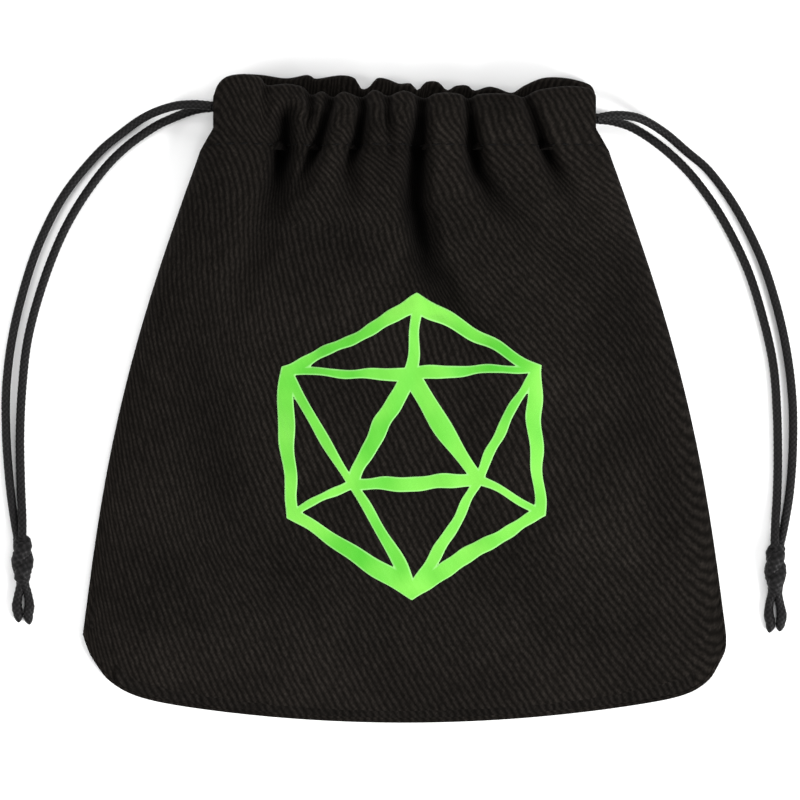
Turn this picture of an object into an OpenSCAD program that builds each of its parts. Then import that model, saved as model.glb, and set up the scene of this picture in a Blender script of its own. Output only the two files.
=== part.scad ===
// Drawstring dice bag, lying on its back with its mouth partly drawn.
// X runs across the bag, Y from its bottom towards its mouth, Z up off the floor.
// The origin is under the middle of the pouch, on the floor.

/* [Pouch] */
// Width of the pouch across its bottom corners
bag_w = 150; // [120:1:200]
// Height of the pouch, from its bottom seam to the back rim of its mouth
bag_h = 150; // [120:1:200]
// Thickness of the twill
cloth_t = 0.8; // [0.6:0.1:1.2]
// How high the front stands off the floor at its middle
crown_h = 14; // [10:0.5:20]
// How far each side swells out past a straight line
side_swell = 3.9; // [0:0.1:6]
// How far the bottom seam sags between the corners
bottom_sag = 8; // [4:0.5:12]
// How far the bottom corners are rounded off
corner_round = 12.5; // [8:0.5:16]

/* [Mouth] */
// Width of the mouth as it lies
mouth_w = 88.6; // [70:0.2:112]
// Depth of the front hem, from its stitching to its rim
hem_d = 13.4; // [12:0.2:20]
// How far the back rim stands past the front rim
back_rise = 3.6; // [0:0.2:6]
// How far the front hem stands up between its ends
hem_arch = 5; // [4:0.5:9]
// Thickness of the turned edge that lines each vent
vent_t = 1; // [0.8:0.1:1.6]
// Width of the turned edge that lines each vent
vent_w = 5; // [3:0.5:8]

/* [Seams] */
// Width of the seam allowance inside the pouch
seam_w = 6.2; // [4:0.2:10]
// Thickness of the seam allowance
seam_t = 1.4; // [1:0.1:2]
// Length of one stitch
stitch_l = 2.2; // [1.5:0.1:3]
// Distance from one stitch to the next
stitch_pitch = 3.2; // [3.1:0.1:5]
// Width of the thread
thread_w = 0.5; // [0.3:0.1:0.8]

/* [Cords] */
// Diameter of each drawcord
cord_d = 2.1; // [1.6:0.1:2.6]
// Distance of the left cord from the front rim
cord_inset = 3; // [2.5:0.1:5]
// Distance between the two cords in their tunnel
cord_gap = 2.8; // [2.7:0.1:4]
// Diameter of each knot
knot_d = 5.2; // [4.6:0.2:8]
// Length of each knot
knot_l = 11.8; // [10:0.2:16]

/* [Painted mark] */
// Distance from the middle of the mark to its outer corners
mark_r = 32.5; // [24:0.5:40]
// Distance from the middle of the mark to the corners of its inner triangle
mark_inner_r = 17; // [12:1:20]
// Width of a brush stroke
stroke_w = 3.4; // [2:0.2:5]
// Thickness of the paint
paint_t = 0.15; // [0.1:0.05:0.3]

/* [Hidden] */

$fn = 48;
twill = [0.14, 0.13, 0.12];
inner_twill = [0.1, 0.095, 0.09];
thread = [0.06, 0.06, 0.06];
braid = [0.2, 0.19, 0.19];
paint = [0.5, 0.9, 0.32];

fit_gap = 0.1;       // between layers that are sewn to each other
run_gap = 0.3;       // between pieces that slide past each other
tunnel_gap = 0.05;   // round a cord in its tunnel
edge_inset = 0.4;    // from the pouch's edge to the seam allowance

// Places along Y
back_rim_y = bag_h / 2;
front_rim_y = back_rim_y - back_rise;
hem_y = front_rim_y - hem_d;
left_cord_y = front_rim_y - cord_inset;
right_cord_y = left_cord_y - cord_gap;
corner_y = -bag_h / 2 + bottom_sag + corner_round;

// Heights of the two hems, one over the other
cord_r = cord_d / 2;
hem_half_t = cord_r + tunnel_gap + cloth_t;
back_hem_z = hem_half_t;
vent_slot = vent_t + 2 * run_gap;
front_hem_end_z = back_hem_z + 2 * hem_half_t + vent_slot;
mouth_half = mouth_w / 2;
hem_steps = 6;
hem_line = [for (i = [0:hem_steps])
    let (x = mouth_half * (2 * i / hem_steps - 1))
    [x, front_hem_end_z + hem_arch * (1 + cos(180 * x / mouth_half)) / 2]];

function front_hem_z(x) = lookup(x, hem_line);
function mix(a, b, share) = a + (b - a) * share;
function smooth(t) = let (c = max(0, min(1, t))) c * c * (3 - 2 * c);

// The pouch's outline. u runs from -1 to 1 across it, v from 0 at the bottom seam to 1 at the hem.
pouch_shoulder = 2;  // the pouch is this much wider than the mouth at the hem, each side
function bottom_y(u) = -bag_h / 2 + bottom_sag * u * u + corner_round * pow(abs(u), 16);
function half_w(y) =
    let (s = max(0, min(1, (y - corner_y) / (hem_y - corner_y))))
    mix(bag_w / 2, mouth_half + pouch_shoulder, s) + side_swell * sin(180 * s);
function pouch_y(u, v) = mix(bottom_y(u), hem_y, v);
function pouch_x(u, v) = u * half_w(pouch_y(u, v));

// Heights of the cloth's outer faces
edge_h = 2 * cloth_t + seam_t + 2 * fit_gap;
function pillow_z(u, v) = edge_h + (crown_h - edge_h)
    * pow(max(0, 1 - pow(abs(u), 2.4)), 0.6)
    * pow(max(0, 1 - pow(1 - v, 2.6)), 0.6);
function front_z(u, v) =
    mix(pillow_z(u, v), front_hem_z(pouch_x(u, v)) + cloth_t / 2, smooth((v - 0.5) / 0.5));
function back_z(v) = mix(0, back_hem_z - cloth_t / 2, smooth((v - 0.85) / 0.15));
function front_z_at(x, y) =
    let (u = x / half_w(y), low = bottom_y(u))
    front_z(u, (y - low) / (hem_y - low));

// Triangles of a closed slab: nu by nv points on top, then as many underneath
function slab_faces(nu, nv) = let (n = nu * nv, last = (nv - 1) * nu) concat(
    [for (j = [0:nv - 2], i = [0:nu - 2]) let (a = j * nu + i) each [
        [a, a + nu, a + nu + 1], [a, a + nu + 1, a + 1],
        [n + a, n + a + nu + 1, n + a + nu], [n + a, n + a + 1, n + a + nu + 1]]],
    [for (i = [0:nu - 2]) each [
        [i, i + 1, n + i + 1], [i, n + i + 1, n + i],
        [last + i + 1, last + i, n + last + i], [last + i + 1, n + last + i, n + last + i + 1]]],
    [for (j = [0:nv - 2]) let (a = j * nu, b = a + nu - 1) each [
        [a + nu, a, n + a], [a + nu, n + a, n + a + nu],
        [b, b + nu, n + b + nu], [b, n + b + nu, n + b]]]);

module slab(top, under, nu, nv) {
    polyhedron(points = concat(top, under), faces = slab_faces(nu, nv));
}

// Points along each panel, closer together near the edges where it curves most
panel_us = [-1, -0.97, -0.9, -0.78, -0.6, -0.4, -0.2, 0, 0.2, 0.4, 0.6, 0.78, 0.9, 0.97, 1];
panel_vs = [0, 0.02, 0.06, 0.13, 0.24, 0.38, 0.52, 0.66, 0.78, 0.88, 0.95, 1];

module panel(heights) {
    nu = len(panel_us);
    places = [for (v = panel_vs, u = panel_us) [pouch_x(u, v), pouch_y(u, v)]];
    top = [for (i = [0:len(places) - 1]) [places[i].x, places[i].y, heights[i]]];
    slab(top, [for (p = top) p - [0, 0, cloth_t]], nu, len(panel_vs));
}

module front_panel() {
    color(twill) panel([for (v = panel_vs, u = panel_us) front_z(u, v)]);
}

module back_panel() {
    color(twill) panel([for (v = panel_vs, u = panel_us) back_z(v) + cloth_t]);
}

// A band that follows a hem's line, between two heights above and below it
module hem_band(line, low, high, y_from, y_to) {
    translate([0, y_to, 0])
        rotate([90, 0, 0])
            linear_extrude(y_to - y_from)
                polygon(concat([for (p = line) [p.x, p.y + low]],
                               [for (i = [len(line) - 1:-1:0]) [line[i].x, line[i].y + high]]));
}

back_line = [[-mouth_half, back_hem_z], [mouth_half, back_hem_z]];
function stretched(line) = [for (p = line) [p.x * 1.02, p.y]];
stitched_d = 2;  // from the hem's lower edge to its tunnel
rim_t = 1;       // from the tunnel to the rim

// The gaps at both vents where a cord turns from one tunnel into the other
turn_x = mouth_half - cord_r - tunnel_gap - (front_hem_end_z - back_hem_z) / 2;
module turn_gaps() {
    for (side = [-1, 1])
        translate([side * (turn_x + mouth_half) / 2, (left_cord_y + right_cord_y) / 2,
                   (back_hem_z + front_hem_end_z) / 2])
            cube([mouth_half - turn_x + 2 * cord_r, cord_gap + cord_d + 4 * tunnel_gap,
                  front_hem_end_z - back_hem_z], center = true);
}

module casing(line, rim_y) {
    difference() {
        hem_band(line, -hem_half_t, hem_half_t, hem_y, rim_y);
        hem_band(stretched(line), cloth_t - hem_half_t, hem_half_t - cloth_t,
                 hem_y + stitched_d, rim_y - rim_t);
        turn_gaps();
    }
}

module front_casing() {
    color(twill) casing(hem_line, front_rim_y);
}

module back_casing() {
    color(twill) casing(back_line, back_rim_y);
}

// The seam allowances, sewn between the two panels along the edge
seam_vs = [for (v = panel_vs) if (v > 0) v];
function seam_floor(v) = back_z(v) + cloth_t + fit_gap;
function seam_roof(v) = front_z(1, v) - cloth_t - fit_gap;

module side_seam(side) {
    inner = [for (v = seam_vs) half_w(pouch_y(1, v)) - edge_inset - seam_w];
    across = side > 0 ? [0, seam_w] : [-seam_w, 0];
    edge = side > 0 ? inner : [for (x = inner) -x];
    roof = [for (i = [0:len(seam_vs) - 1], a = across)
        [edge[i] + a, pouch_y(1, seam_vs[i]), seam_roof(seam_vs[i])]];
    base = [for (i = [0:len(seam_vs) - 1], a = across)
        [edge[i] + a, pouch_y(1, seam_vs[i]), seam_floor(seam_vs[i])]];
    slab(roof, base, 2, len(seam_vs));
}

module left_side_seam() {
    color(inner_twill) side_seam(-1);
}

module right_side_seam() {
    color(inner_twill) side_seam(1);
}

bottom_us = [for (i = [-12:12]) 0.93 * i / 12];
module bottom_seam() {
    base = [for (a = [edge_inset, edge_inset + seam_w], u = bottom_us)
        [u * bag_w / 2, bottom_y(u) + a, seam_floor(0)]];
    color(inner_twill)
        slab([for (p = base) p + [0, 0, seam_t]], base, len(bottom_us), 2);
}

// The turned edge that lines each vent, between the ends of the two hems
module vent_hem(side) {
    inner_x = side > 0 ? mouth_half - run_gap - vent_w : run_gap - mouth_half;
    translate([inner_x, hem_y + run_gap, back_hem_z + hem_half_t + run_gap])
        cube([vent_w, right_cord_y - cord_r - hem_y - 3 * run_gap, vent_t]);
}

module left_vent_hem() {
    color(inner_twill) vent_hem(-1);
}

module right_vent_hem() {
    color(inner_twill) vent_hem(1);
}

// Stitching. Each stitch is a flat bar of thread that lies on the cloth.
stitch_y = hem_y + 0.6;
stitch_h = 0.25;
module hem_stitches(line) {
    lift = hem_half_t + tunnel_gap;
    count = floor((mouth_w - stitch_pitch) / stitch_pitch);
    for (i = [0:count - 1]) {
        x = (i - (count - 1) / 2) * stitch_pitch;
        ends = [for (e = [-stitch_l / 2, stitch_l / 2]) [x + e, lookup(x + e, line)]];
        hem_band(ends, lift, lift + stitch_h, stitch_y, stitch_y + thread_w);
    }
}

module front_casing_stitches() {
    color(thread) hem_stitches(hem_line);
}

module back_casing_stitches() {
    color(thread) hem_stitches(back_line);
}

stitch_in = 1;            // from the seam allowance's inner edge to its stitches
seam_stitch_lift = 0.2;   // from the seam allowance to its stitches, where it slopes
module side_stitches(side) {
    first_y = pouch_y(1, 0.04);
    count = floor((hem_y - first_y) / stitch_pitch) - 2;
    for (i = [0:count - 1]) {
        y = first_y + i * stitch_pitch;
        v = (y + stitch_l - bottom_y(1)) / (hem_y - bottom_y(1));
        roof = max(seam_roof(v), seam_roof(v - stitch_l / (hem_y - bottom_y(1))));
        x = half_w(y + stitch_l / 2) - edge_inset - seam_w + stitch_in;
        translate([side * x - thread_w / 2, y, roof + seam_stitch_lift])
            cube([thread_w, stitch_l, stitch_h]);
    }
}

module left_seam_stitches() {
    color(thread) side_stitches(-1);
}

module right_seam_stitches() {
    color(thread) side_stitches(1);
}

module bottom_seam_stitches() {
    count = floor(0.88 * bag_w / stitch_pitch);
    color(thread)
        for (i = [0:count - 1]) {
            x = (i - (count - 1) / 2) * stitch_pitch;
            y = bottom_y(2 * x / bag_w) + edge_inset + seam_w - stitch_in;
            translate([x - stitch_l / 2, y, seam_floor(0) + seam_t + fit_gap])
                cube([stitch_l, thread_w, stitch_h]);
        }
}

// The painted mark: a brush-drawn outline of a twenty-sided die, with no numbers
mark_centre = [2, -10];
mark_lift = 0.25;
function mark_point(r, angle) = mark_centre + r * [cos(angle), sin(angle)];

module dab(p) {
    translate([p.x, p.y, front_z_at(p.x, p.y) + mark_lift])
        cylinder(d = stroke_w, h = paint_t, $fn = 8);
}

module brush_stroke(from, to) {
    steps = ceil(norm(to - from) / 12);
    for (i = [0:steps - 1])
        hull() {
            dab(mix(from, to, i / steps));
            dab(mix(from, to, (i + 1) / steps));
        }
}

module painted_mark() {
    color(paint) {
        for (a = [30:60:330])
            brush_stroke(mark_point(mark_r, a), mark_point(mark_r, a + 60));
        for (a = [90:120:330]) {
            brush_stroke(mark_point(mark_inner_r, a), mark_point(mark_inner_r, a + 120));
            for (turn = [-60:60:60])
                brush_stroke(mark_point(mark_inner_r, a), mark_point(mark_r, a + turn));
        }
    }
}

// Cords. A tube is swept along its route with eight sides. sideways holds its first axis level.
cord_sides = 8;
function unit(p) = p / norm(p);
function heading(route, i, level_ends) = let (last = len(route) - 1)
    level_ends && (i == 0 || i == last)
        ? [sign(route[min(i + 1, last)].x - route[max(i - 1, 0)].x), 0, 0]
        : unit(route[min(i + 1, last)] - route[max(i - 1, 0)]);
function ring(p, along, level) = let (up = cross(along, level))
    [for (k = [0:cord_sides - 1])
        let (a = 360 * (k + 0.5) / cord_sides) p + cord_r * (cos(a) * level + sin(a) * up)];
function tube_faces(rings) = concat(
    [[for (k = [0:cord_sides - 1]) k]],
    [for (i = [0:rings - 2], k = [0:cord_sides - 1])
        let (a = i * cord_sides, m = (k + 1) % cord_sides) each [
            [a + k, a + cord_sides + k, a + cord_sides + m],
            [a + k, a + cord_sides + m, a + m]]],
    [[for (k = [cord_sides - 1:-1:0]) (rings - 1) * cord_sides + k]]);

// A cord along the floor. One that comes out of a vent starts level, square to the vent.
module lying_cord(route, from_vent = false) {
    points = [for (i = [0:len(route) - 1])
        let (along = heading(route, i, from_vent && i == 0))
        each ring(route[i], along, unit(cross([0, 0, 1], along)))];
    color(braid) polyhedron(points = points, faces = tube_faces(len(route)));
}

module upright_cord(route) {
    points = [for (i = [0:len(route) - 1])
        each ring(route[i], heading(route, i, true), [0, 1, 0])];
    color(braid) polyhedron(points = points, faces = tube_faces(len(route)));
}

// Each loop runs through the front tunnel, turns at the far vent and comes back through the other
exit_x = mouth_half + 0.2;
function loop_route(side, y) = let (
        turn_high = front_hem_z(turn_x),
        turn_r = (turn_high - back_hem_z) / 2) concat(
    [[-side * exit_x, y, front_hem_end_z]],
    [for (i = [1:hem_steps - 1]) let (x = side * mouth_half * (2 * i / hem_steps - 1))
        [x, y, front_hem_z(x)]],
    [for (a = [90:-45:-90])
        [side * (turn_x + turn_r * cos(a)), y, back_hem_z + turn_r * (1 + sin(a))]],
    [[-side * exit_x, y, back_hem_z]]);

module left_cord_loop() {
    upright_cord(loop_route(1, left_cord_y));
}

module right_cord_loop() {
    upright_cord(loop_route(-1, right_cord_y));
}

// Routes of the four free strands, from the vent to the knot, along the floor
floor_z = 1.1;
left_front_route = [
    [-exit_x, left_cord_y, front_hem_end_z], [-49, 68.8, 6.6], [-54, 68.4, 4.8], [-60, 66.4, 2.4],
    [-66, 62.4, 1.2], [-72, 57.2, floor_z], [-79.6, 47.7, floor_z], [-85.3, 36.5, floor_z],
    [-89, 25.4, floor_z], [-91.6, 14.2, floor_z], [-92.9, 3, floor_z], [-92.9, -8.1, floor_z],
    [-92.1, -19.3, floor_z], [-91.1, -27, floor_z], [-90.2, -32, 1.3]];
left_back_route = [
    [-exit_x, left_cord_y, back_hem_z], [-49, 67.8, 1.5], [-54.5, 65.8, floor_z], [-59, 63.5, floor_z],
    [-65.3, 58.9, floor_z], [-70.7, 53.3, floor_z], [-76.5, 45, floor_z], [-80.9, 36.5, floor_z],
    [-85, 25.4, floor_z], [-87.9, 14.2, floor_z], [-89.2, 3, floor_z], [-89.7, -8.1, floor_z],
    [-89.5, -19.3, 1.2], [-89.1, -27, 2.2], [-89, -32, 3.1]];
right_front_route = [
    [exit_x, right_cord_y, front_hem_end_z], [49.5, 66.3, 6.6], [54.8, 65.6, 4.6], [60.4, 62.6, 2.4],
    [66, 58, 1.2], [71.3, 53.3, floor_z], [77.4, 44.8, floor_z], [83, 33.7, floor_z],
    [86.7, 22.6, floor_z], [89.2, 11.4, floor_z], [90.5, 0.3, floor_z], [90.6, -10.9, floor_z],
    [89.9, -21, floor_z], [88.6, -29, floor_z], [87.4, -34.4, 1.3]];
right_back_route = [
    [exit_x, right_cord_y, back_hem_z], [48.5, 65.2, 1.5], [53, 63.8, floor_z], [58.2, 60.6, floor_z],
    [63.6, 56.1, floor_z], [68.7, 50.5, floor_z], [74.4, 42.1, floor_z], [79.9, 31, floor_z],
    [83.5, 19.8, floor_z], [86, 8.6, floor_z], [86.9, -2.5, floor_z], [87.1, -13.7, floor_z],
    [86.9, -22, 1.2], [86.4, -29, 2.2], [86.2, -34.4, 3.1]];

// Each knot lies along Y. Its near end takes the strands, its far end gives the tails.
left_knot_end = [-89, -31.2];
right_knot_end = [86.4, -33.3];
left_front_tail_route = [[-90.1, -42, 1.5], [-90.1, -45, floor_z], [-90.5, -48.8, floor_z], [-90, -51.6, floor_z]];
left_back_tail_route = [[-87.9, -42, 1.5], [-87.9, -45, floor_z], [-87.5, -48.8, floor_z], [-87.3, -52, floor_z]];
right_front_tail_route = [[87.5, -44.1, 1.5], [87.6, -47, floor_z], [88, -50.6, floor_z], [87.7, -53.8, floor_z]];
right_back_tail_route = [[85.3, -44.1, 1.5], [85.2, -47, floor_z], [84.9, -50.6, floor_z], [85, -54, floor_z]];

module left_front_strand() {
    lying_cord(left_front_route, from_vent = true);
}

module left_back_strand() {
    lying_cord(left_back_route, from_vent = true);
}

module right_front_strand() {
    lying_cord(right_front_route, from_vent = true);
}

module right_back_strand() {
    lying_cord(right_back_route, from_vent = true);
}

module left_front_tail() {
    lying_cord(left_front_tail_route);
}

module left_back_tail() {
    lying_cord(left_back_tail_route);
}

module right_front_tail() {
    lying_cord(right_front_tail_route);
}

module right_back_tail() {
    lying_cord(right_back_tail_route);
}

module knot(end) {
    r = knot_d / 2;
    color(braid)
        translate([end.x, end.y - r, r]) {
            sphere(r);
            rotate([90, 0, 0]) cylinder(r = r, h = knot_l - knot_d);
            translate([0, knot_d - knot_l, 0]) sphere(r);
        }
}

module left_knot() {
    knot(left_knot_end);
}

module right_knot() {
    knot(right_knot_end);
}

front_panel();
back_panel();
front_casing();
back_casing();
left_side_seam();
right_side_seam();
bottom_seam();
left_vent_hem();
right_vent_hem();
front_casing_stitches();
back_casing_stitches();
left_seam_stitches();
right_seam_stitches();
bottom_seam_stitches();
painted_mark();
left_cord_loop();
right_cord_loop();
left_front_strand();
left_back_strand();
left_knot();
left_front_tail();
left_back_tail();
right_front_strand();
right_back_strand();
right_knot();
right_front_tail();
right_back_tail();
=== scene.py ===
"""Looks of the drawstring dice bag: gathered twill, braided drawcords, knots, stitches and a painted mark.
The bag lies on its back, X across it, Y from its bottom to its mouth, Z up. All is in metres."""

import math

import bmesh
import bpy
import numpy as np
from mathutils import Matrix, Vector, noise


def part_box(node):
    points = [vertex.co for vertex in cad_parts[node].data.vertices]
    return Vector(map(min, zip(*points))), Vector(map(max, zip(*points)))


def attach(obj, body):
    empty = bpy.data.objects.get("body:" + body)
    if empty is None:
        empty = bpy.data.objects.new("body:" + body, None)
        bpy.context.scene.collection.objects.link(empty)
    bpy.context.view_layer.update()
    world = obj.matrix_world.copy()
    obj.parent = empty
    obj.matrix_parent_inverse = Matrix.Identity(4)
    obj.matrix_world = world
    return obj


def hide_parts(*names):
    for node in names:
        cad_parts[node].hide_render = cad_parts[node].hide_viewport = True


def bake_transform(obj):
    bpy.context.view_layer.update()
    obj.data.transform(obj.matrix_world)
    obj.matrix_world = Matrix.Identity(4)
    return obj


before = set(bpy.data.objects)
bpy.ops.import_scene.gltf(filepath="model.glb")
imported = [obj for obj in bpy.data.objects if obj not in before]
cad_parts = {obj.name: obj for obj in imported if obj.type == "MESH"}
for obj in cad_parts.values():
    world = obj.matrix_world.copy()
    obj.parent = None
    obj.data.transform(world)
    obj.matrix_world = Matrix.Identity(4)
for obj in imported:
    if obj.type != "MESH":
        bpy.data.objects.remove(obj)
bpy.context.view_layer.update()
MM = 0.001

# ---- sizes from the frame
panel_low, panel_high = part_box("front_panel")
front_hem_low, front_hem_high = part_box("front_casing")
back_hem_low, back_hem_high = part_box("back_casing")
BAG_HALF_W = panel_high.x
BOTTOM_Y = panel_low.y
HEM_Y = panel_high.y
MOUTH_HALF = front_hem_high.x
FRONT_RIM_Y = front_hem_high.y
HEM_HALF_T = (back_hem_high.z - back_hem_low.z) / 2
BACK_CORD_Z = HEM_HALF_T
FRONT_CORD_Z = front_hem_low.z + HEM_HALF_T

# The cloth, as in the part's source
CLOTH_T = 0.8 * MM
CROWN_H = 14 * MM
SIDE_SWELL = 4.2 * MM
BOTTOM_SAG = 8 * MM
CORNER_ROUND = 12.5 * MM
SHOULDER = 3.2 * MM
SEAM_W = 6.2 * MM
SEAM_T = 1.4 * MM
SEAM_LEAST_Z = 1.8 * MM         # lowest middle of a seam allowance
SEAM_INSET = 0.8 * MM           # from the bag's edge in to its seam allowance
CORNER_Y = BOTTOM_Y + BOTTOM_SAG + CORNER_ROUND
TWILL_PITCH = 1.5 * MM          # from one twill line to the next

# Cords
CORD_D = 2.1 * MM
LEAST_Z = CORD_D / 2 + 0.02 * MM    # lowest middle of a cord that lies on the floor
LEFT_CORD_Y = FRONT_RIM_Y - 3 * MM
RIGHT_CORD_Y = LEFT_CORD_Y - 2.8 * MM
EXIT_X = MOUTH_HALF + 0.2 * MM
WIND_R = 0.6 * MM               # how far a strand's middle winds from the middle of its knot
WIND_TURNS = 0.85
KNOT_SWELL = 0.9                # how much fatter a strand is drawn inside its knot
KNOT_HALF_L = 5.2 * MM

# Stitches
STITCH_PITCH = 3.2 * MM
STITCH_L = 0.72 * STITCH_PITCH
THREAD_W = 0.4 * MM


def metres(points):
    return np.array(points, float) * MM


def mix(a, b, share):
    return a + (b - a) * share


def smooth(t):
    t = np.clip(t, 0, 1)
    return t * t * (3 - 2 * t)


def no_lower(height):
    """The height, kept softly above 0."""
    return (height + np.sqrt(height * height + (0.5 * MM) ** 2)) / 2


def bump(t):
    """1 at t = 0, falling softly to 0."""
    return np.exp(-t * t)


# ---- meshes
def new_mesh(name, verts, faces, uvs=None, material=None, smooth_faces=True):
    """A mesh object at the origin. uvs are per vertex."""
    mesh = bpy.data.meshes.new(name)
    mesh.from_pydata([tuple(map(float, p)) for p in verts], [], [tuple(map(int, f)) for f in faces])
    if uvs is not None:
        layer = mesh.uv_layers.new(name="cloth")
        corners = np.zeros(len(mesh.loops), np.int32)
        mesh.loops.foreach_get("vertex_index", corners)
        layer.data.foreach_set("uv", np.asarray(uvs, np.float32)[corners].ravel())
    mesh.polygons.foreach_set("use_smooth", [smooth_faces] * len(mesh.polygons))
    mesh.update()
    obj = bpy.data.objects.new(name, mesh)
    bpy.context.scene.collection.objects.link(obj)
    if material is not None:
        mesh.materials.append(material)
    return obj


def grid_faces(rows, cols, closed=False, flip=False, first=0):
    """Quads between rows of points, each row joined into a ring if closed."""
    j, i = np.meshgrid(np.arange(rows - 1), np.arange(cols if closed else cols - 1), indexing="ij")
    k = (i + 1) % cols
    quads = np.stack([j * cols + i, j * cols + k, (j + 1) * cols + k, (j + 1) * cols + i], -1)
    quads = quads.reshape(-1, 4)
    return (quads[:, ::-1] if flip else quads) + first


def grid_normals(points):
    """Unit normals, facing up, of a grid whose rows run along +X and whose columns run along +Y."""
    across = np.gradient(points, axis=1)
    along = np.gradient(points, axis=0)
    n = np.cross(across, along)
    return n / np.maximum(np.linalg.norm(n, axis=-1, keepdims=True), 1e-12)


def slab_from_grid(name, outer, inner, uv, material, normals=None):
    """A closed sheet between two grids of points. The outer one faces along its own normals."""
    rows, cols = outer.shape[:2]
    n = rows * cols
    verts = np.concatenate([outer.reshape(-1, 3), inner.reshape(-1, 3)])
    faces = [grid_faces(rows, cols), grid_faces(rows, cols, flip=True, first=n)]
    index = np.arange(n).reshape(rows, cols)
    loop = np.concatenate([index[0], index[1:, -1], index[-1, ::-1][1:], index[::-1, 0][1:]])
    after = np.roll(loop, -1)
    keep = loop != after
    loop, after = loop[keep], after[keep]
    rim = np.stack([after, loop, loop + n, after + n], -1)
    uvs = np.concatenate([uv.reshape(-1, 2)] * 2)
    obj = new_mesh(name, verts, np.concatenate([*faces, rim]), uvs, material)
    if normals is not None:
        flat = normals.reshape(-1, 3)
        set_normals(obj.data, np.concatenate([flat, -flat]), len(rim))
    return obj


def set_normals(mesh, vertex_normals, rim_faces):
    """Shades the sheet with the whole cloth's normals, and its rim with the rim's own."""
    corners = np.zeros(len(mesh.loops), np.int32)
    mesh.loops.foreach_get("vertex_index", corners)
    wanted = vertex_normals[corners]
    own = np.zeros(len(mesh.polygons) * 3, np.float32)
    mesh.polygons.foreach_get("normal", own)
    wanted[-4 * rim_faces:] = np.repeat(own.reshape(-1, 3)[-rim_faces:], 4, axis=0)
    mesh.normals_split_custom_set([tuple(map(float, n)) for n in wanted])


def through(points, spacing):
    """A smooth line through the points, and its points at that spacing."""
    p = np.asarray(points, float)
    p = np.vstack([2 * p[0] - p[1], p, 2 * p[-1] - p[-2]])
    fine = []
    for a, b, c, d in zip(p[:-3], p[1:-2], p[2:-1], p[3:]):
        t = np.linspace(0, 1, 24, endpoint=False)[:, None]
        fine.append(0.5 * (2 * b + (c - a) * t + (2 * a - 5 * b + 4 * c - d) * t ** 2
                           + (3 * b - a - 3 * c + d) * t ** 3))
    fine = np.vstack(fine + [p[-2:-1]])
    return spaced(fine, spacing)


def spaced(line, spacing):
    steps = np.linalg.norm(np.diff(line, axis=0), axis=1)
    along = np.concatenate([[0], np.cumsum(steps)])
    count = max(2, int(round(along[-1] / spacing)) + 1)
    wanted = np.linspace(0, along[-1], count)
    return np.stack([np.interp(wanted, along, line[:, k]) for k in range(3)], -1)


# ---- cords and knots
PLAITS = 6                      # pairs of yarns round a cord
PLAIT_L = 0.62 * MM             # half the length of one turn of the braid's pattern
BRAID_STEP = 0.21 * MM


def braided_tube(line, sides=24, relief=0.045, taper=None):
    """Points, faces and UVs of a braided cord that follows the line, closed at both ends."""
    radius = CORD_D / 2
    tangents = np.gradient(line, axis=0)
    tangents /= np.linalg.norm(tangents, axis=1, keepdims=True)
    side = np.cross(tangents[0], [0.0, 0.0, 1.0])
    side /= np.linalg.norm(side)
    along = np.concatenate([[0], np.cumsum(np.linalg.norm(np.diff(line, axis=0), axis=1))])
    angle = np.arange(sides) * 2 * math.pi / sides
    rings, uvs = [], []
    for i, (p, t) in enumerate(zip(line, tangents)):
        side = side - t * (side @ t)
        side /= np.linalg.norm(side)
        up = np.cross(t, side)
        weave = np.cos(PLAITS * angle) * math.cos(math.pi * along[i] / PLAIT_L)
        r = radius * (1 - relief + relief * weave) * (1 if taper is None else taper[i])
        rings.append(p + r[:, None] * (np.cos(angle)[:, None] * side + np.sin(angle)[:, None] * up))
        uvs.append(np.stack([angle / (2 * math.pi), np.full(sides, along[i])], -1))
    verts = np.concatenate(rings)
    faces = [tuple(f) for f in grid_faces(len(line), sides, closed=True)]
    last = (len(line) - 1) * sides
    verts = np.vstack([verts, line[0], line[-1]])
    uv = np.vstack([*uvs, [0, 0], [0, along[-1]]])
    faces += [((k + 1) % sides, k, len(verts) - 2) for k in range(sides)]
    faces += [(last + k, last + (k + 1) % sides, len(verts) - 1) for k in range(sides)]
    return verts, faces, uv


def joined(parts):
    """Several (points, faces, UVs) as one."""
    verts, faces, uvs, first = [], [], [], 0
    for v, f, uv in parts:
        verts.append(v)
        uvs.append(uv)
        faces += [tuple(int(k) + first for k in face) for face in f]
        first += len(v)
    return np.vstack(verts), faces, np.vstack(uvs)


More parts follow.
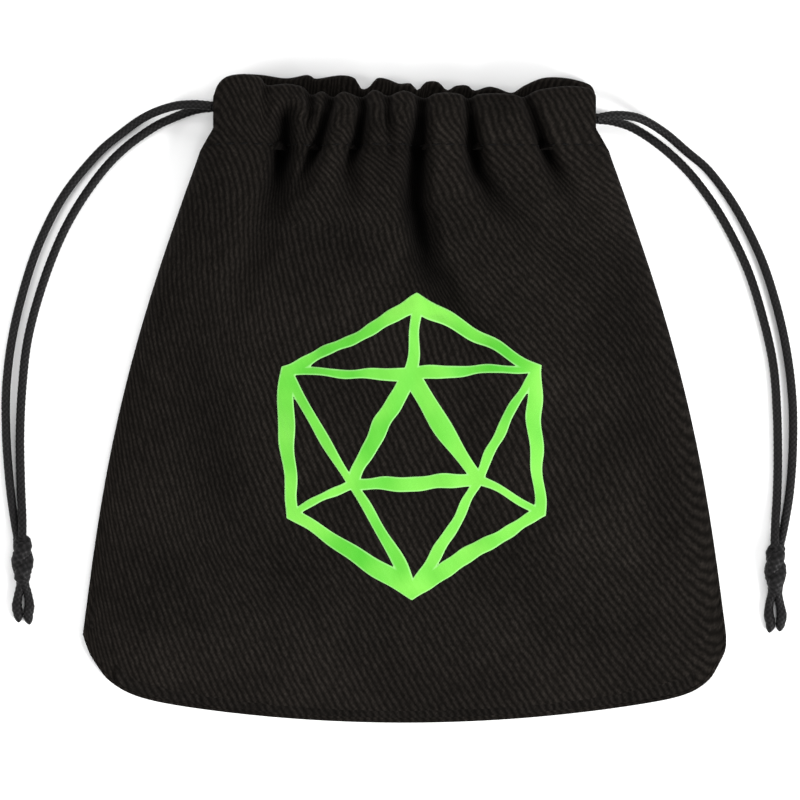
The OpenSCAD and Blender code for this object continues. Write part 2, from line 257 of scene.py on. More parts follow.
LEG_ROUTES = {
    "left_front_strand": metres([
        [-44.5, 68.4, 7.3], [-49, 68.8, 6.6], [-54, 68.4, 4.8], [-60, 66.4, 2.4], [-66, 62.4, 1.2],
        [-72, 57.2, 1.1], [-79.6, 47.7, 1.1], [-85.3, 36.5, 1.1], [-89, 25.4, 1.1], [-91.6, 14.2, 1.1],
        [-92.9, 3, 1.1], [-92.9, -8.1, 1.1], [-92.1, -19.3, 1.1], [-91.1, -27, 1.1], [-90.2, -32, 1.3]]),
    "left_back_strand": metres([
        [-44.5, 68.4, 1.9], [-49, 67.8, 1.5], [-54.5, 65.8, 1.1], [-59, 63.5, 1.1], [-65.3, 58.9, 1.1],
        [-70.7, 53.3, 1.1], [-76.5, 45, 1.1], [-80.9, 36.5, 1.1], [-85, 25.4, 1.1], [-87.9, 14.2, 1.1],
        [-89.2, 3, 1.1], [-89.7, -8.1, 1.1], [-89.5, -19.3, 1.2], [-89.1, -27, 2.2], [-89, -32, 3.1]]),
    "right_front_strand": metres([
        [44.5, 65.6, 7.3], [49.5, 66.3, 6.6], [54.8, 65.6, 4.6], [60.4, 62.6, 2.4], [66, 58, 1.2],
        [71.3, 53.3, 1.1], [77.4, 44.8, 1.1], [83, 33.7, 1.1], [86.7, 22.6, 1.1], [89.2, 11.4, 1.1],
        [90.5, 0.3, 1.1], [90.6, -10.9, 1.1], [89.9, -21, 1.1], [88.6, -29, 1.1], [87.4, -34.4, 1.3]]),
    "right_back_strand": metres([
        [44.5, 65.6, 1.9], [48.5, 65.2, 1.5], [53, 63.8, 1.1], [58.2, 60.6, 1.1], [63.6, 56.1, 1.1],
        [68.7, 50.5, 1.1], [74.4, 42.1, 1.1], [79.9, 31, 1.1], [83.5, 19.8, 1.1], [86, 8.6, 1.1],
        [86.9, -2.5, 1.1], [87.1, -13.7, 1.1], [86.9, -22, 1.2], [86.4, -29, 2.2], [86.2, -34.4, 3.1]]),
}
TAIL_ROUTES = {
    "left_front_tail": metres([
        [-89.8, -42, 1.7], [-90, -45, 1.3], [-90.4, -47.8, 1.2], [-90.1, -49.8, 1.1], [-90, -51.7, 1.1]]),
    "left_back_tail": metres([
        [-88.2, -42, 1.7], [-87.9, -45, 1.3], [-87.5, -47.8, 1.2], [-87.8, -49.8, 1.1], [-87.5, -52.2, 1.1]]),
    "right_front_tail": metres([
        [87.2, -44.1, 1.7], [87.5, -47, 1.3], [88, -49.9, 1.2], [87.7, -51.9, 1.1], [87.5, -53.8, 1.1]]),
    "right_back_tail": metres([
        [85.6, -44.1, 1.7], [85.2, -47, 1.3], [85, -49.9, 1.2], [85.4, -51.9, 1.1], [85.1, -54.1, 1.1]]),
}


def knot_strand(node, start, tail, turn):
    """One strand inside a knot: in at start, round the knot's middle, and out along its tail."""
    low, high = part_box(node)
    centre_x, centre_z = (low.x + high.x) / 2, (low.z + high.z) / 2
    y_top, y_end = high.y - 1.3 * MM, low.y + 1.7 * MM
    points = [start]
    for k in range(1, 30):
        share = k / 30
        angle = turn + 2 * math.pi * WIND_TURNS * share
        r = WIND_R * min(1, 5 * share, 5 * (1 - share)) ** 0.5
        lump = 1 + 0.1 * math.cos(4 * math.pi * share)
        points.append([centre_x + 1.08 * lump * r * math.cos(angle), mix(y_top, y_end, share),
                       centre_z + r * math.sin(angle)])
    return np.vstack([points, tail[1:]])


def cut_end(line):
    """A melted end to a strand, slightly swollen and then drawn to a blunt point."""
    left = np.linalg.norm(line - line[-1], axis=1)
    swell = 1 + 0.2 * bump((left - 3.4 * MM) / (1.8 * MM))
    return swell * np.clip(left / (1.3 * MM), 0.02, 1) ** 0.5


def make_knot(side, material):
    """The knot that ties a side's two strands, with their two tails."""
    parts = []
    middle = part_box(f"{side}_knot")[0].y + 6 * MM
    for turn, which in ((0.0, "front"), (math.pi, "back")):
        start = LEG_ROUTES[f"{side}_{which}_strand"][-1]
        tail = TAIL_ROUTES[f"{side}_{which}_tail"]
        line = through(knot_strand(f"{side}_knot", start, tail, turn), BRAID_STEP)
        line[:, 2] = np.maximum(line[:, 2], LEAST_Z)
        wound = np.exp(-((line[:, 1] - middle) / KNOT_HALF_L) ** 6)
        parts.append(braided_tube(line, taper=cut_end(line) + KNOT_SWELL * wound))
    knot = new_mesh(f"{side}_tied_knot", *joined(parts), material)
    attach(knot, f"{side}_drawstring")
    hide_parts(f"{side}_knot", f"{side}_front_tail", f"{side}_back_tail")
    return knot


def make_leg(side, which, material):
    """A free strand of a drawcord, from its vent to its knot."""
    route = LEG_ROUTES[f"{side}_{which}_strand"]
    line = through(route, BRAID_STEP)
    line[:, 2] = np.maximum(line[:, 2], LEAST_Z)
    leg = new_mesh(f"{side}_{which}_cord", *braided_tube(line), material)
    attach(leg, f"{side}_drawstring")
    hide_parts(f"{side}_{which}_strand")


def front_cord_z(x):
    """Height of a cord's line in the front hem, which stands up a little between its ends."""
    return FRONT_CORD_Z + 1.6 * MM * smooth((28 * MM - np.abs(x)) / (28 * MM))


def back_cord_z(x):
    return 0 * x + BACK_CORD_Z


def hidden_cord(name, side, line, material):
    """A stretch of a cord inside the hems."""
    piece = new_mesh(name, *braided_tube(line, sides=12, relief=0.04), material)
    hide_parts(f"{side}_cord_loop")
    return piece


def make_loops(material):
    """Each cord's run through both hems, in pieces: a stretch in each hem from its own vent to the middle,
    and one from the middle round the turn at the far vent.
    """
    turn_r = (FRONT_CORD_Z - BACK_CORD_Z) / 2
    turn_x = MOUTH_HALF - CORD_D / 2 - 0.05 * MM - turn_r
    for side, out, y in (("left", -1, LEFT_CORD_Y), ("right", 1, RIGHT_CORD_Y)):
        for hem, height in (("front", front_cord_z), ("back", back_cord_z)):
            x = np.linspace(out * EXIT_X, 0, 90)
            line = np.stack([x, 0 * x + y, height(x)], -1)
            near = hidden_cord(f"{side}_cord_in_{hem}_hem", side, line, material)
            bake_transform(near)
        far = -out
        x = np.linspace(0, far * turn_x, 80)
        angle = np.linspace(math.pi / 2, -math.pi / 2, 24)[1:-1]
        turn = np.stack([far * (turn_x + turn_r * np.cos(angle)), 0 * angle + y,
                         BACK_CORD_Z + turn_r * (1 + np.sin(angle))], -1)
        line = np.vstack([np.stack([x, 0 * x + y, front_cord_z(x)], -1), turn,
                          np.stack([x, 0 * x + y, back_cord_z(x)], -1)[::-1]])
        turned = hidden_cord(f"{side}_cord_turn", side, line, material)
        follow_mouth(turned)


def follow_mouth(piece):
    """Bakes the piece's placement into its mesh."""
    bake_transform(piece)


# ---- shape of the cloth
def bottom_y(s):
    """The bag's lower edge, whose right corner is a little fuller than its left."""
    corner = np.where(s > 0, 0.8 * np.abs(s) ** 22, np.abs(s) ** 16)
    return BOTTOM_Y + BOTTOM_SAG * s ** 2 + CORNER_ROUND * corner


def half_w(y):
    """Half of the bag's width at each y."""
    share = np.clip((y - CORNER_Y) / (HEM_Y - CORNER_Y), 0, 1)
    shoulder = SHOULDER * np.clip((HEM_Y + 5 * MM - y) / (5 * MM), 0, 1)
    return mix(BAG_HALF_W, MOUTH_HALF + shoulder, share) + SIDE_SWELL * np.sin(math.pi * share)


# Folds that run down from the front rim: places along each, with its depth and half width
FOLDS = [
    [(-31.8, 74, 1.8, 1.1), (-32, 67, 1, 1.5), (-33, 60, 0, 2)],
    [(-27, 69.5, 0, 1.8), (-27.4, 65, 5, 2.2), (-28.2, 57, 8, 2.6), (-29.4, 50, 5, 3),
     (-32, 41, 2, 4), (-35.5, 22, 0.7, 5), (-37, 4, 0, 6)],
    [(-21.8, 73, 3.4, 1.2), (-21.6, 66, 3.4, 1.2), (-23.4, 60, 1.6, 1.4), (-24.4, 55, 0, 1.6)],
    [(-16.6, 72, 3, 1.2), (-17.6, 67, 5.4, 1.5), (-20.4, 58, 7, 1.8), (-22.8, 52.5, 3.4, 2),
     (-25.5, 46, 0.6, 3), (-27, 41, 0, 3)],
    [(-10, 72, 3.6, 1.2), (-9.5, 67, 5.4, 1.4), (-11, 59, 7, 1.7), (-12.6, 54, 3.6, 2),
     (-13, 44, 0.9, 3), (-13.6, 34, 0, 3)],
    [(-3.8, 72, 3.4, 1), (-3.8, 66, 3.2, 1.1), (-3.8, 60, 1.2, 1.3), (-4, 53, 0, 1.5)],
    [(4.2, 72, 4.4, 1.4), (3.8, 66, 6, 1.9), (3, 58, 9, 2.3), (2.2, 45, 8.4, 2.8), (4.6, 33, 5, 3.4),
     (10.5, 20, 2, 4.8), (20, 12, 0.6, 5.5), (28, 8, 0, 6)],
    [(14.7, 72, 3.4, 1.1), (15, 66, 4.4, 1.5), (15.6, 59, 8, 2), (16.6, 53, 5.6, 2.4),
     (20.5, 46, 2.4, 3.2), (26.5, 40, 0.9, 4.2), (32, 32, 0, 5)],
    [(27.4, 73, 2.4, 1.3), (29.4, 66, 4, 1.6), (32.4, 58, 6, 1.8), (34.4, 53, 3.4, 2.4),
     (38, 47, 1.2, 3.6), (43, 38, 0, 4.5)],
    [(-45, 32, 0, 7), (-44.5, 15, 0.7, 8), (-45, -10, 1, 9), (-48, -31, 0.8, 8), (-43, -48, 0, 7)],
    [(52, 40, 0, 6), (57, 20, 0.8, 7), (58, -5, 0.9, 8), (60, -30, 0, 8)],
]
# The two rims from above: places along X with how far each reaches
FRONT_RIM = [
    (-44.3, 70.6), (-43.2, 73.4), (-41, 75.2), (-37, 75.7), (-33.5, 75), (-31.8, 73.2), (-27, 73.4),
    (-23.5, 72.6), (-21.6, 70.9), (-19, 71.6), (-16.6, 70.4), (-14, 71.5), (-10, 70.3), (-7, 71.9),
    (-3.8, 70.6), (0, 71.7), (4.4, 70.1), (7, 71), (10, 71.3), (13, 70.9), (14.7, 70), (17, 70.9),
    (21, 71.2), (25, 71), (27.4, 70.4), (31, 72), (37, 72.9), (42, 72.7), (43.6, 71.9), (44.3, 70.8)]
BACK_RIM = [
    (-44.3, 70.9), (-42.6, 74), (-38, 76), (-33.5, 76), (-27.5, 75.2), (-22.6, 76), (-20.6, 75.1),
    (-15, 75.9), (-11.6, 75.2), (-10.2, 72.8), (-8.4, 73), (-6.4, 75.2), (-4, 75), (-1.2, 73.9),
    (1.4, 74), (3.1, 72.4), (5, 74.3), (7.8, 74.3), (9.9, 72.4), (12, 73.4), (14.6, 73.5), (16.3, 72.3),
    (19.5, 73.2), (21.8, 72.8), (25, 71.8), (28, 73.5), (32.5, 75.3), (38, 75.2), (43, 73.8), (44.3, 72)]


def rim_at(rim, x):
    """How far a rim reaches at each x."""
    line = through([(*place, 0) for place in metres(rim)], 0.3 * MM)
    return np.interp(x, line[:, 0], line[:, 1])


def front_folds(x, y):
    """How far the folds sink the cloth at a place."""
    sunk = np.zeros_like(x)
    for fold in FOLDS:
        line = metres(fold)[::-1]
        where = np.interp(y, line[:, 1], line[:, 0])
        depth = np.interp(y, line[:, 1], line[:, 2], left=0)
        width = np.interp(y, line[:, 1], line[:, 3])
        sunk = sunk + depth * np.exp(-np.abs((x - where) / width) ** 2.4)
    return sunk


def soft_noise(x, y, size, seed):
    """Smooth noise from about -1 to 1, whose bumps are about that size."""
    places = zip((x / size).ravel(), (y / size).ravel())
    flat = [noise.noise(Vector((float(a), float(b), seed))) for a, b in places]
    return np.array(flat).reshape(x.shape) * 1.6


def cloth_rows(panel_rows, hem_rows, roll_rows, lining_rows):
    """Places along the cloth: 0 to 1 up the pouch, to 2 up the hem, to 3 over the rim, to 4 down inside."""
    return np.concatenate([
        np.linspace(0, 1, panel_rows, endpoint=False) ** 1.12,
        1 + np.linspace(0, 1, hem_rows, endpoint=False),
        2 + np.linspace(0, 1, roll_rows, endpoint=False),
        3 + np.linspace(0, 1, lining_rows)])


def cloth_columns(count):
    """Places across the cloth from -1 to 1, closer together towards the sides."""
    t = np.linspace(-1, 1, 2 * count + 1)
    return 0.75 * t + 0.25 * np.sin(math.pi * t / 2)


ROLL_R = 1.1 * MM               # how far a rim bulges past the end of its tunnel
BACK_TOP_Z = 1.2 * MM           # the least height of the front's underside over the back
LINING_GAP = 0.05 * MM


def seam_height(y):
    """Height of the side seam, which climbs to the vent and there parts into the two hems."""
    return 1.6 * MM + 3 * MM * smooth((y + 5 * MM) / (60 * MM))


def cloth_plan(columns, rows, rim):
    """Where the cloth's points are from above, with their places across it and up it and their rim."""
    s, q = np.meshgrid(columns, rows)
    v = np.clip(q, 0, 1)
    rim_y = rim_at(rim, s * MOUTH_HALF) - ROLL_R
    y = np.where(q < 1, mix(bottom_y(s), HEM_Y, v), mix(HEM_Y, rim_y, np.clip(q - 1, 0, 1)))
    x = s * half_w(y)
    down = np.clip(q - 3, 0, 1)
    y = np.where(q > 3, mix(rim_y, HEM_Y, down), y)
    x = np.where(q > 3, s * half_w(np.maximum(y, HEM_Y + 6 * MM)), x)
    return s, q, v, down, x, y, rim_y


def over_rim(q, y, z, rim_y, rim_z, lining_z):
    """Rolls the cloth over its rim, from its outer face at rim_z to its lining."""
    roll = np.clip(q - 2, 0, 1) * math.pi
    over = (q >= 2) & (q <= 3)
    middle, reach = (rim_z + lining_z) / 2, (rim_z - lining_z) / 2
    return (np.where(over, rim_y + ROLL_R * np.sin(roll), y),
            np.where(over, middle + reach * np.cos(roll), z))


def front_cloth(columns, rows):
    """Outer face of the front, which stands over the cords, with the hem's lining under them."""
    s, q, v, down, x, y, rim_y = cloth_plan(columns, rows, FRONT_RIM)
    tunnel = front_cord_z(x)
    lowest = tunnel + CORD_D / 2 + CLOTH_T + 0.1 * MM
    swell = 5.2 * MM + 1.3 * MM * np.sin(math.pi * np.clip((y - HEM_Y) / (14 * MM), 0, 1))
    round_rim = 2 * MM * smooth((y - (rim_y - 5 * MM)) / (5 * MM)) ** 2
    hem_top = lowest + (swell - round_rim) * (1 - 0.75 * np.abs(s) ** 7)
    pillow = CROWN_H * (1 - (1 - v) ** 2.6) ** 0.6
    crest = mix(pillow, hem_top, smooth((v - 0.5) / 0.5))
    side_z = mix(seam_height(y), tunnel + HEM_HALF_T, smooth((y - HEM_Y + 2 * MM) / (7 * MM)))
    sharp = mix(2.4, 10, smooth((v - 0.5) / 0.5))
    rounding = np.clip(1 - np.abs(s) ** sharp, 0, 1) ** 0.55
    top = side_z + (crest - side_z) * rounding * np.clip(v * 60, 0, 1) ** 0.5
    waves = 0.55 * MM * soft_noise(x, y * 0.6, 17 * MM, 3.7)
    waves = waves + 0.22 * MM * soft_noise(x, y * 0.5, 6 * MM, 9.1)
    pucker = 0.3 * MM * soft_noise(y, 0 * x, 3.6 * MM, 5.5) * np.abs(s) ** 12
    z = top - (front_folds(x, y) - waves) * rounding * smooth(v * 5) + pucker * (v < 1)
    z = z - 0.3 * MM * bump((y - HEM_Y - 0.8 * MM) / (0.9 * MM)) * (q < 3)
    in_hem = smooth((y - HEM_Y + 7 * MM) / (9 * MM))
    floor = mix(BACK_TOP_Z + CLOTH_T, lowest - 0.4 * MM, in_hem)
    floor = side_z + (floor - side_z) * rounding
    z = floor + no_lower(z - floor)

    rim_z = z[np.searchsorted(rows, 2.0)][None, :]
    lining_z = tunnel - CORD_D / 2 - CLOTH_T - 0.1 * MM - 0.5 * MM * np.clip(
        (rim_z - lowest) / (3 * MM), 0, 1) * (1 - np.abs(s) ** 7)
    y, z = over_rim(q, y, z, rim_y, rim_z, lining_z)
    sewn_rows = (rows > 0.97) & (rows < 1.25)
    under = z[sewn_rows].min(axis=0)[None, :] - 2 * CLOTH_T - LINING_GAP
    z = np.where(q > 3, mix(lining_z, np.maximum(under, 0), smooth((down - 0.7) / 0.3)), z)
    return np.stack([x, y, z], -1)


def back_cloth(columns, rows):
    """Outer face of the back, which lies on the floor, with its lining on top of the tunnel."""
    s, q, v, down, x, y, rim_y = cloth_plan(columns, rows, BACK_RIM)
    side_z = mix(seam_height(y), 0.3 * MM, smooth((y - HEM_Y + 3 * MM) / (6 * MM)))
    rounding = np.clip(1 - np.abs(s) ** mix(16, 30, v), 0, 1) ** 0.5 * np.clip(v * 60, 0, 1) ** 0.5
    lie = 0.06 * MM + 0.25 * MM * np.abs(soft_noise(x, y, 15 * MM, 21.3)) * (q < 1) * (1 - v ** 6)
    z = mix(side_z, lie, rounding)
    folds = 1.3 * MM * (0.5 + 0.5 * np.sin((rim_y - 70 * MM) * 900)) * (1 - np.abs(s) ** 7)
    top_z = BACK_CORD_Z + CORD_D / 2 + CLOTH_T + 0.1 * MM + folds * smooth((y - 66 * MM) / (6 * MM))
    y, z = over_rim(q, y, z, rim_y, z[np.searchsorted(rows, 2.0)][None, :], top_z)
    under = 2 * CLOTH_T + LINING_GAP + 0.06 * MM
    z = np.where(q > 3, mix(top_z, under, smooth((down - 0.7) / 0.3)), z)
    return np.stack([x, y, z], -1)


# Up the bag: Y in mm, how much wider the cut cloth is than the bag there, and how fast its weave turns
# across the bag, in radians per metre
WEAVE = [(-75, 1, 2.4), (-57, 1.02, 2.8), (-18, 1.09, 3.6), (20, 1.18, 6), (38, 1.3, 8.5), (55, 1.45, 8),
         (76, 1.5, 6)]


def cloth_uv(points):
    """Places on the cut cloth, in metres. It narrows to the mouth, so its weave fans out from the middle."""
    x, y = points[..., 0], points[..., 1]
    weave = through(metres(WEAVE), 2 * MM)
    wider = np.interp(y, weave[:, 0], weave[:, 1] / MM)
    turn = np.interp(y, weave[:, 0], weave[:, 2] / MM)
    share = 0.1 + front_folds(x, y) / (2.5 * MM)
    step = np.abs(np.diff(x, axis=1)) * (1 + (share[:, 1:] + share[:, :-1]) / 2)
    arc = np.concatenate([np.zeros((len(points), 1)), np.cumsum(step, axis=1)], axis=1)
    u = (2 * arc / arc[:, -1:] - 1) * np.abs(x[:, -1:]) * wider
    up = np.linalg.norm(np.diff(points, axis=0), axis=2)
    up = np.minimum(up.mean(axis=1), 2 * MM)
    v = np.concatenate([[0], np.cumsum(up)])[:, None] - turn * x * x / 2
    return np.stack([u, v], -1)


SETTLE_FRAMES = 14
SETTLE_MOST = 1.3 * MM          # the most that settling may move the cloth
SLACK = 0.02                    # how much longer the gathered cloth is cut than the room it has
# The painted shade in the front's folds is at its darkest at this depth.
DARKEST_AT = 6 * MM             # depth of a fold whose bottom is in full shade


def settled(points, rows):
    """The front after its gathered cloth, held by its seams and its hem, has settled as cloth does."""
    last = int(np.searchsorted(rows, 1.0)) + 1
    part = points[:last:2, ::2]
    shape = part.shape[:2]
    x, y = part[..., 0].ravel(), part[..., 1].ravel()
    up = np.minimum(y - bottom_y(x / half_w(y)), HEM_Y - 0.5 * MM - y)
    inside = np.minimum(half_w(y) - np.abs(x), up)
    cloth = new_mesh("settling", part.reshape(-1, 3), grid_faces(*shape))
    held = cloth.vertex_groups.new(name="held")
    held.add([int(k) for k in np.nonzero(inside < SEAM_W + 1 * MM)[0]], 1.0, "REPLACE")
    hang(cloth)
    found = played(cloth)
    bpy.data.objects.remove(cloth)
    moved = found.reshape(*shape, 3) - part
    wrinkles = softened(moved, 3) - softened(moved, 90)
    wrinkles = wrinkles * smooth(inside / (16 * MM)).reshape(*shape, 1)
    wrinkles *= mix(0.45, 1, smooth((y + 10 * MM) / (50 * MM))).reshape(*shape, 1)
    size = np.linalg.norm(wrinkles, axis=-1, keepdims=True)
    return points + spread(wrinkles * SETTLE_MOST / np.maximum(size, SETTLE_MOST), points.shape[:2], last)


def hang(cloth):
    """Makes a mesh a light cotton cloth that is held where its group says."""
    modifier = cloth.modifiers.new("settle", "CLOTH")
    fabric = modifier.settings
    fabric.quality = 6
    fabric.mass = 0.15
    fabric.tension_stiffness = fabric.compression_stiffness = 20
    fabric.shear_stiffness = 6
    fabric.bending_stiffness = 0.5
    fabric.air_damping = 4
    fabric.vertex_group_mass = "held"
    fabric.shrink_min = -SLACK
    fabric.effector_weights.gravity = 0.003
    modifier.collision_settings.use_collision = False
    modifier.point_cache.frame_start = 1
    modifier.point_cache.frame_end = SETTLE_FRAMES


def played(cloth):
    """Where a cloth's points are after its simulation has run."""
    scene = bpy.context.scene
    for number in range(1, SETTLE_FRAMES + 1):
        scene.frame_set(number)
    after = cloth.evaluated_get(bpy.context.evaluated_depsgraph_get()).data
    found = np.zeros(len(after.vertices) * 3, np.float32)
    after.vertices.foreach_get("co", found)
    scene.frame_set(1)
    return found


def softened(grid, times):
    """A grid of vectors with each mixed into its neighbours, that many times over."""
    for _ in range(times):
        wide = np.pad(grid, ((1, 1), (1, 1), (0, 0)), mode="edge")
        grid = (4 * grid + wide[:-2, 1:-1] + wide[2:, 1:-1] + wide[1:-1, :-2] + wide[1:-1, 2:]) / 8
    return grid


def spread(moved, full, last):
    """Takes the settling of every second row and column to all of them."""
    rows_at = np.minimum(np.arange(last) / 2, moved.shape[0] - 1)
    cols_at = np.minimum(np.arange(full[1]) / 2, moved.shape[1] - 1)
    out = np.zeros((*full, 3))
    for k in range(3):
        layer = moved[..., k]
        across = np.array([np.interp(cols_at, np.arange(layer.shape[1]), row) for row in layer])
        filled = [np.interp(rows_at, np.arange(layer.shape[0]), column) for column in across.T]
        out[:last, :, k] = np.array(filled).T
    return out


def make_cloth(name, points, columns, rows, material, faces_up):
    """A side of the bag as one thick sheet of cloth, in two halves, left and right."""
    normals = grid_normals(points) * (1 if faces_up else -1)
    inner = points - normals * CLOTH_T
    uv = cloth_uv(points)
    middle = len(columns) // 2
    sunk = front_folds(points[..., 0], points[..., 1]) * (1 if faces_up else 0)
    for side, part in (("left", slice(0, middle + 1)), ("right", slice(middle, len(columns)))):
        grids = [grid[:, part] for grid in (points, inner, uv, normals, sunk)]
        if not faces_up:
            grids = [grid[:, ::-1] for grid in grids]
        outside, lining, places, facing, sunken = grids
        half = slab_from_grid(f"{side}_half_of_{name}", outside, lining, places, material, facing)
        # Painted shade: the depth of the front's folds, stored on its points, darkens the cloth's colour in
        # its creases.
        crease_shade = half.data.attributes.new("crease_shade", "FLOAT", "POINT")
        crease_shade.data.foreach_set("value", np.tile(sunken.ravel() / DARKEST_AT, 2).astype(np.float32))
        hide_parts(f"{name}_panel", f"{name}_casing")
        follow_mouth(half)
    return Cloth(points, normals, uv, columns, rows)


class Cloth:
    """Finds places on a side of the bag from where they are on the floor plan."""

    def __init__(self, points, normals, uv, columns, rows):
        self.points, self.normals, self.uv = points, normals, uv
        self.columns, self.rows = columns, rows

    def at(self, x, y):
        """Place, normal and UV on the pouch under each x and y."""
        s = np.clip(x / half_w(y), -1, 1)
        v = (y - bottom_y(s)) / (HEM_Y - bottom_y(s))
        return self.on(s, np.clip(v, 0, 0.9999))

    def on(self, s, q):
        i = np.interp(s, self.columns, np.arange(len(self.columns)))
        j = np.interp(q, self.rows, np.arange(len(self.rows)))
        i0 = np.minimum(i.astype(int), len(self.columns) - 2)
        j0 = np.minimum(j.astype(int), len(self.rows) - 2)
        fi, fj = (i - i0)[:, None], (j - j0)[:, None]
        found = []
        for grid in (self.points, self.normals, self.uv):
            low = grid[j0, i0] * (1 - fi) + grid[j0, i0 + 1] * fi
            high = grid[j0 + 1, i0] * (1 - fi) + grid[j0 + 1, i0 + 1] * fi
            found.append(low * (1 - fj) + high * fj)
        return found


# ---- painted mark
MARK_CENTRE = metres([2, -10])
MARK_R = 33 * MM
MARK_INNER_R = 17 * MM
STROKE_W = 3.4 * MM
MARK_STEP = 0.32 * MM
PAINT_T = 0.12 * MM


def polygon_distance(x, y, radius, corners):
    """Distance from the outline of a regular polygon, with sharp corners, one of which points up."""
    reach = radius * math.cos(math.pi / corners)
    sides = [math.radians(90 + 180 / corners + 360 / corners * k) for k in range(corners)]
    return np.max([x * math.cos(a) + y * math.sin(a) - reach for a in sides], axis=0)


def stroke_distance(x, y):
    """Distance outside the nearest brush stroke of a twenty-sided die seen from one of its faces."""
    x, y = x - MARK_CENTRE[0], y - MARK_CENTRE[1]
    sway_x = 0.75 * np.sin(y / (8.5 * MM) + 0.6) + 0.22 * np.sin(y / (1.9 * MM) + x / (6 * MM))
    sway_y = 0.75 * np.sin(x / (9.5 * MM) + 2.2) + 0.22 * np.sin(x / (2.1 * MM) - y / (5 * MM))
    wide = 1 + 0.16 * np.sin(x / (6.5 * MM) + 1.3) + 0.16 * np.sin(y / (5.5 * MM) + 0.4)
    wide = wide + 0.05 * np.sin(x / (1.1 * MM) + y / (1.6 * MM))
    x, y = x + sway_x * MM, y + sway_y * MM
    half = STROKE_W / 2 * wide
    nearest = np.abs(polygon_distance(x, y, MARK_R, 6)) - half
    nearest = np.minimum(nearest, np.abs(polygon_distance(x, y, MARK_INNER_R, 3)) - half)
    for corner in (90, 210, 330):
        inner = MARK_INNER_R * np.array([math.cos(math.radians(corner)), math.sin(math.radians(corner))])
        for turn in (-60, 0, 60):
            outer = math.radians(corner + turn)
            span = MARK_R * np.array([math.cos(outer), math.sin(outer)]) - inner
            t = np.clip(((x - inner[0]) * span[0] + (y - inner[1]) * span[1]) / (span @ span), 0, 1)
            off = np.hypot(x - inner[0] - t * span[0], y - inner[1] - t * span[1])
            nearest = np.minimum(nearest, off - 0.86 * half * (1 - 0.3 * t))
    return nearest


def mark_cells():
    """Corners and cells of a fine net that the strokes cover, drawn up to the strokes' edges."""
    reach = MARK_R + 4 * MM
    n = int(2 * reach / MARK_STEP)
    gx, gy = np.meshgrid(MARK_CENTRE[0] - reach + MARK_STEP * np.arange(n + 1),
                         MARK_CENTRE[1] - reach + MARK_STEP * np.arange(n + 1))
    kept = stroke_distance(gx[:-1, :-1] + MARK_STEP / 2, gy[:-1, :-1] + MARK_STEP / 2) < 0
    count = np.zeros((n + 1, n + 1), int)
    for dj, di in ((0, 0), (0, 1), (1, 0), (1, 1)):
        count[dj:n + dj, di:n + di] += kept
    edge = (count > 0) & (count < 4)
    h = 0.05 * MM
    for _ in range(3):
        d = stroke_distance(gx, gy)
        slope_x = (stroke_distance(gx + h, gy) - stroke_distance(gx - h, gy)) / (2 * h)
        slope_y = (stroke_distance(gx, gy + h) - stroke_distance(gx, gy - h)) / (2 * h)
        gx = np.where(edge, gx - np.clip(d, -MARK_STEP, MARK_STEP) * slope_x, gx)
        gy = np.where(edge, gy - np.clip(d, -MARK_STEP, MARK_STEP) * slope_y, gy)
    used = count > 0
    index = np.full((n + 1, n + 1), -1)
    index[used] = np.arange(used.sum())
    j, i = np.nonzero(kept)
    cells = np.stack([index[j, i], index[j, i + 1], index[j + 1, i + 1], index[j + 1, i]], -1)
    return gx[used], gy[used], cells, -stroke_distance(gx[used], gy[used])


def make_mark(cloth, material):
    """The mark, a thin skin of paint on the front that follows its cloth."""
    x, y, cells, depth = mark_cells()
    place, normal, uv = cloth.at(x, y)
    n = len(x)
    top = place + normal * (PAINT_T + 0.03 * MM)
    under = place + normal * 0.02 * MM
    sides = np.concatenate([cells[:, [0, 1]], cells[:, [1, 2]], cells[:, [2, 3]], cells[:, [3, 0]]])
    seen = {tuple(e) for e in sides.tolist()}
    rim = [(b, a, a + n, b + n) for a, b in sorted(seen) if (b, a) not in seen]
    faces = [tuple(c) for c in cells.tolist()] + [tuple(c[::-1] + n) for c in cells] + rim
    mark = new_mesh("painted_die_mark", np.vstack([top, under]), faces, np.vstack([uv, uv]), material)
    inward = mark.data.attributes.new("from_edge", "FLOAT", "POINT")
    inward.data.foreach_set("value", np.concatenate([depth, depth]).astype(np.float32))
    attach(mark, "root")
    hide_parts("painted_mark")
    return mark


# ---- seams, vents and stitches
def strip_along(line, across, name, material, thickness, wave=0.0):
    """A flat, soft-edged strip of two plies of cloth from a line across by a vector for each point."""
    steps = 9
    share = np.linspace(0, 1, steps)
    swell = thickness / 2 * (1 - (2 * share - 1) ** 6) ** 0.5 + 0.02 * MM
    mid = line[:, None, :] + across[:, None, :] * share[None, :, None]
    lift = wave * np.sin(np.arange(len(line)) * 0.9)[:, None] * share[None, :]
    up = np.array([0.0, 0.0, 1.0])
    top = mid + (swell[None, :, None] + lift[:, :, None]) * up
    under = mid + (lift[:, :, None] - swell[None, :, None]) * up
    uv = np.stack([mid[..., 0], mid[..., 1]], -1)
    strip = slab_from_grid(name, top, under, uv, material)
    face_outwards(strip)
    return strip


def face_outwards(obj):
    """Makes a closed mesh's faces point outwards."""
    bm = bmesh.new()
    bm.from_mesh(obj.data)
    bmesh.ops.recalc_face_normals(bm, faces=bm.faces)
    bm.to_mesh(obj.data)
    bm.free()


def allowance_z(y):
    """Height of the middle of a side seam's allowance."""
    return np.maximum(seam_height(y), SEAM_LEAST_Z)


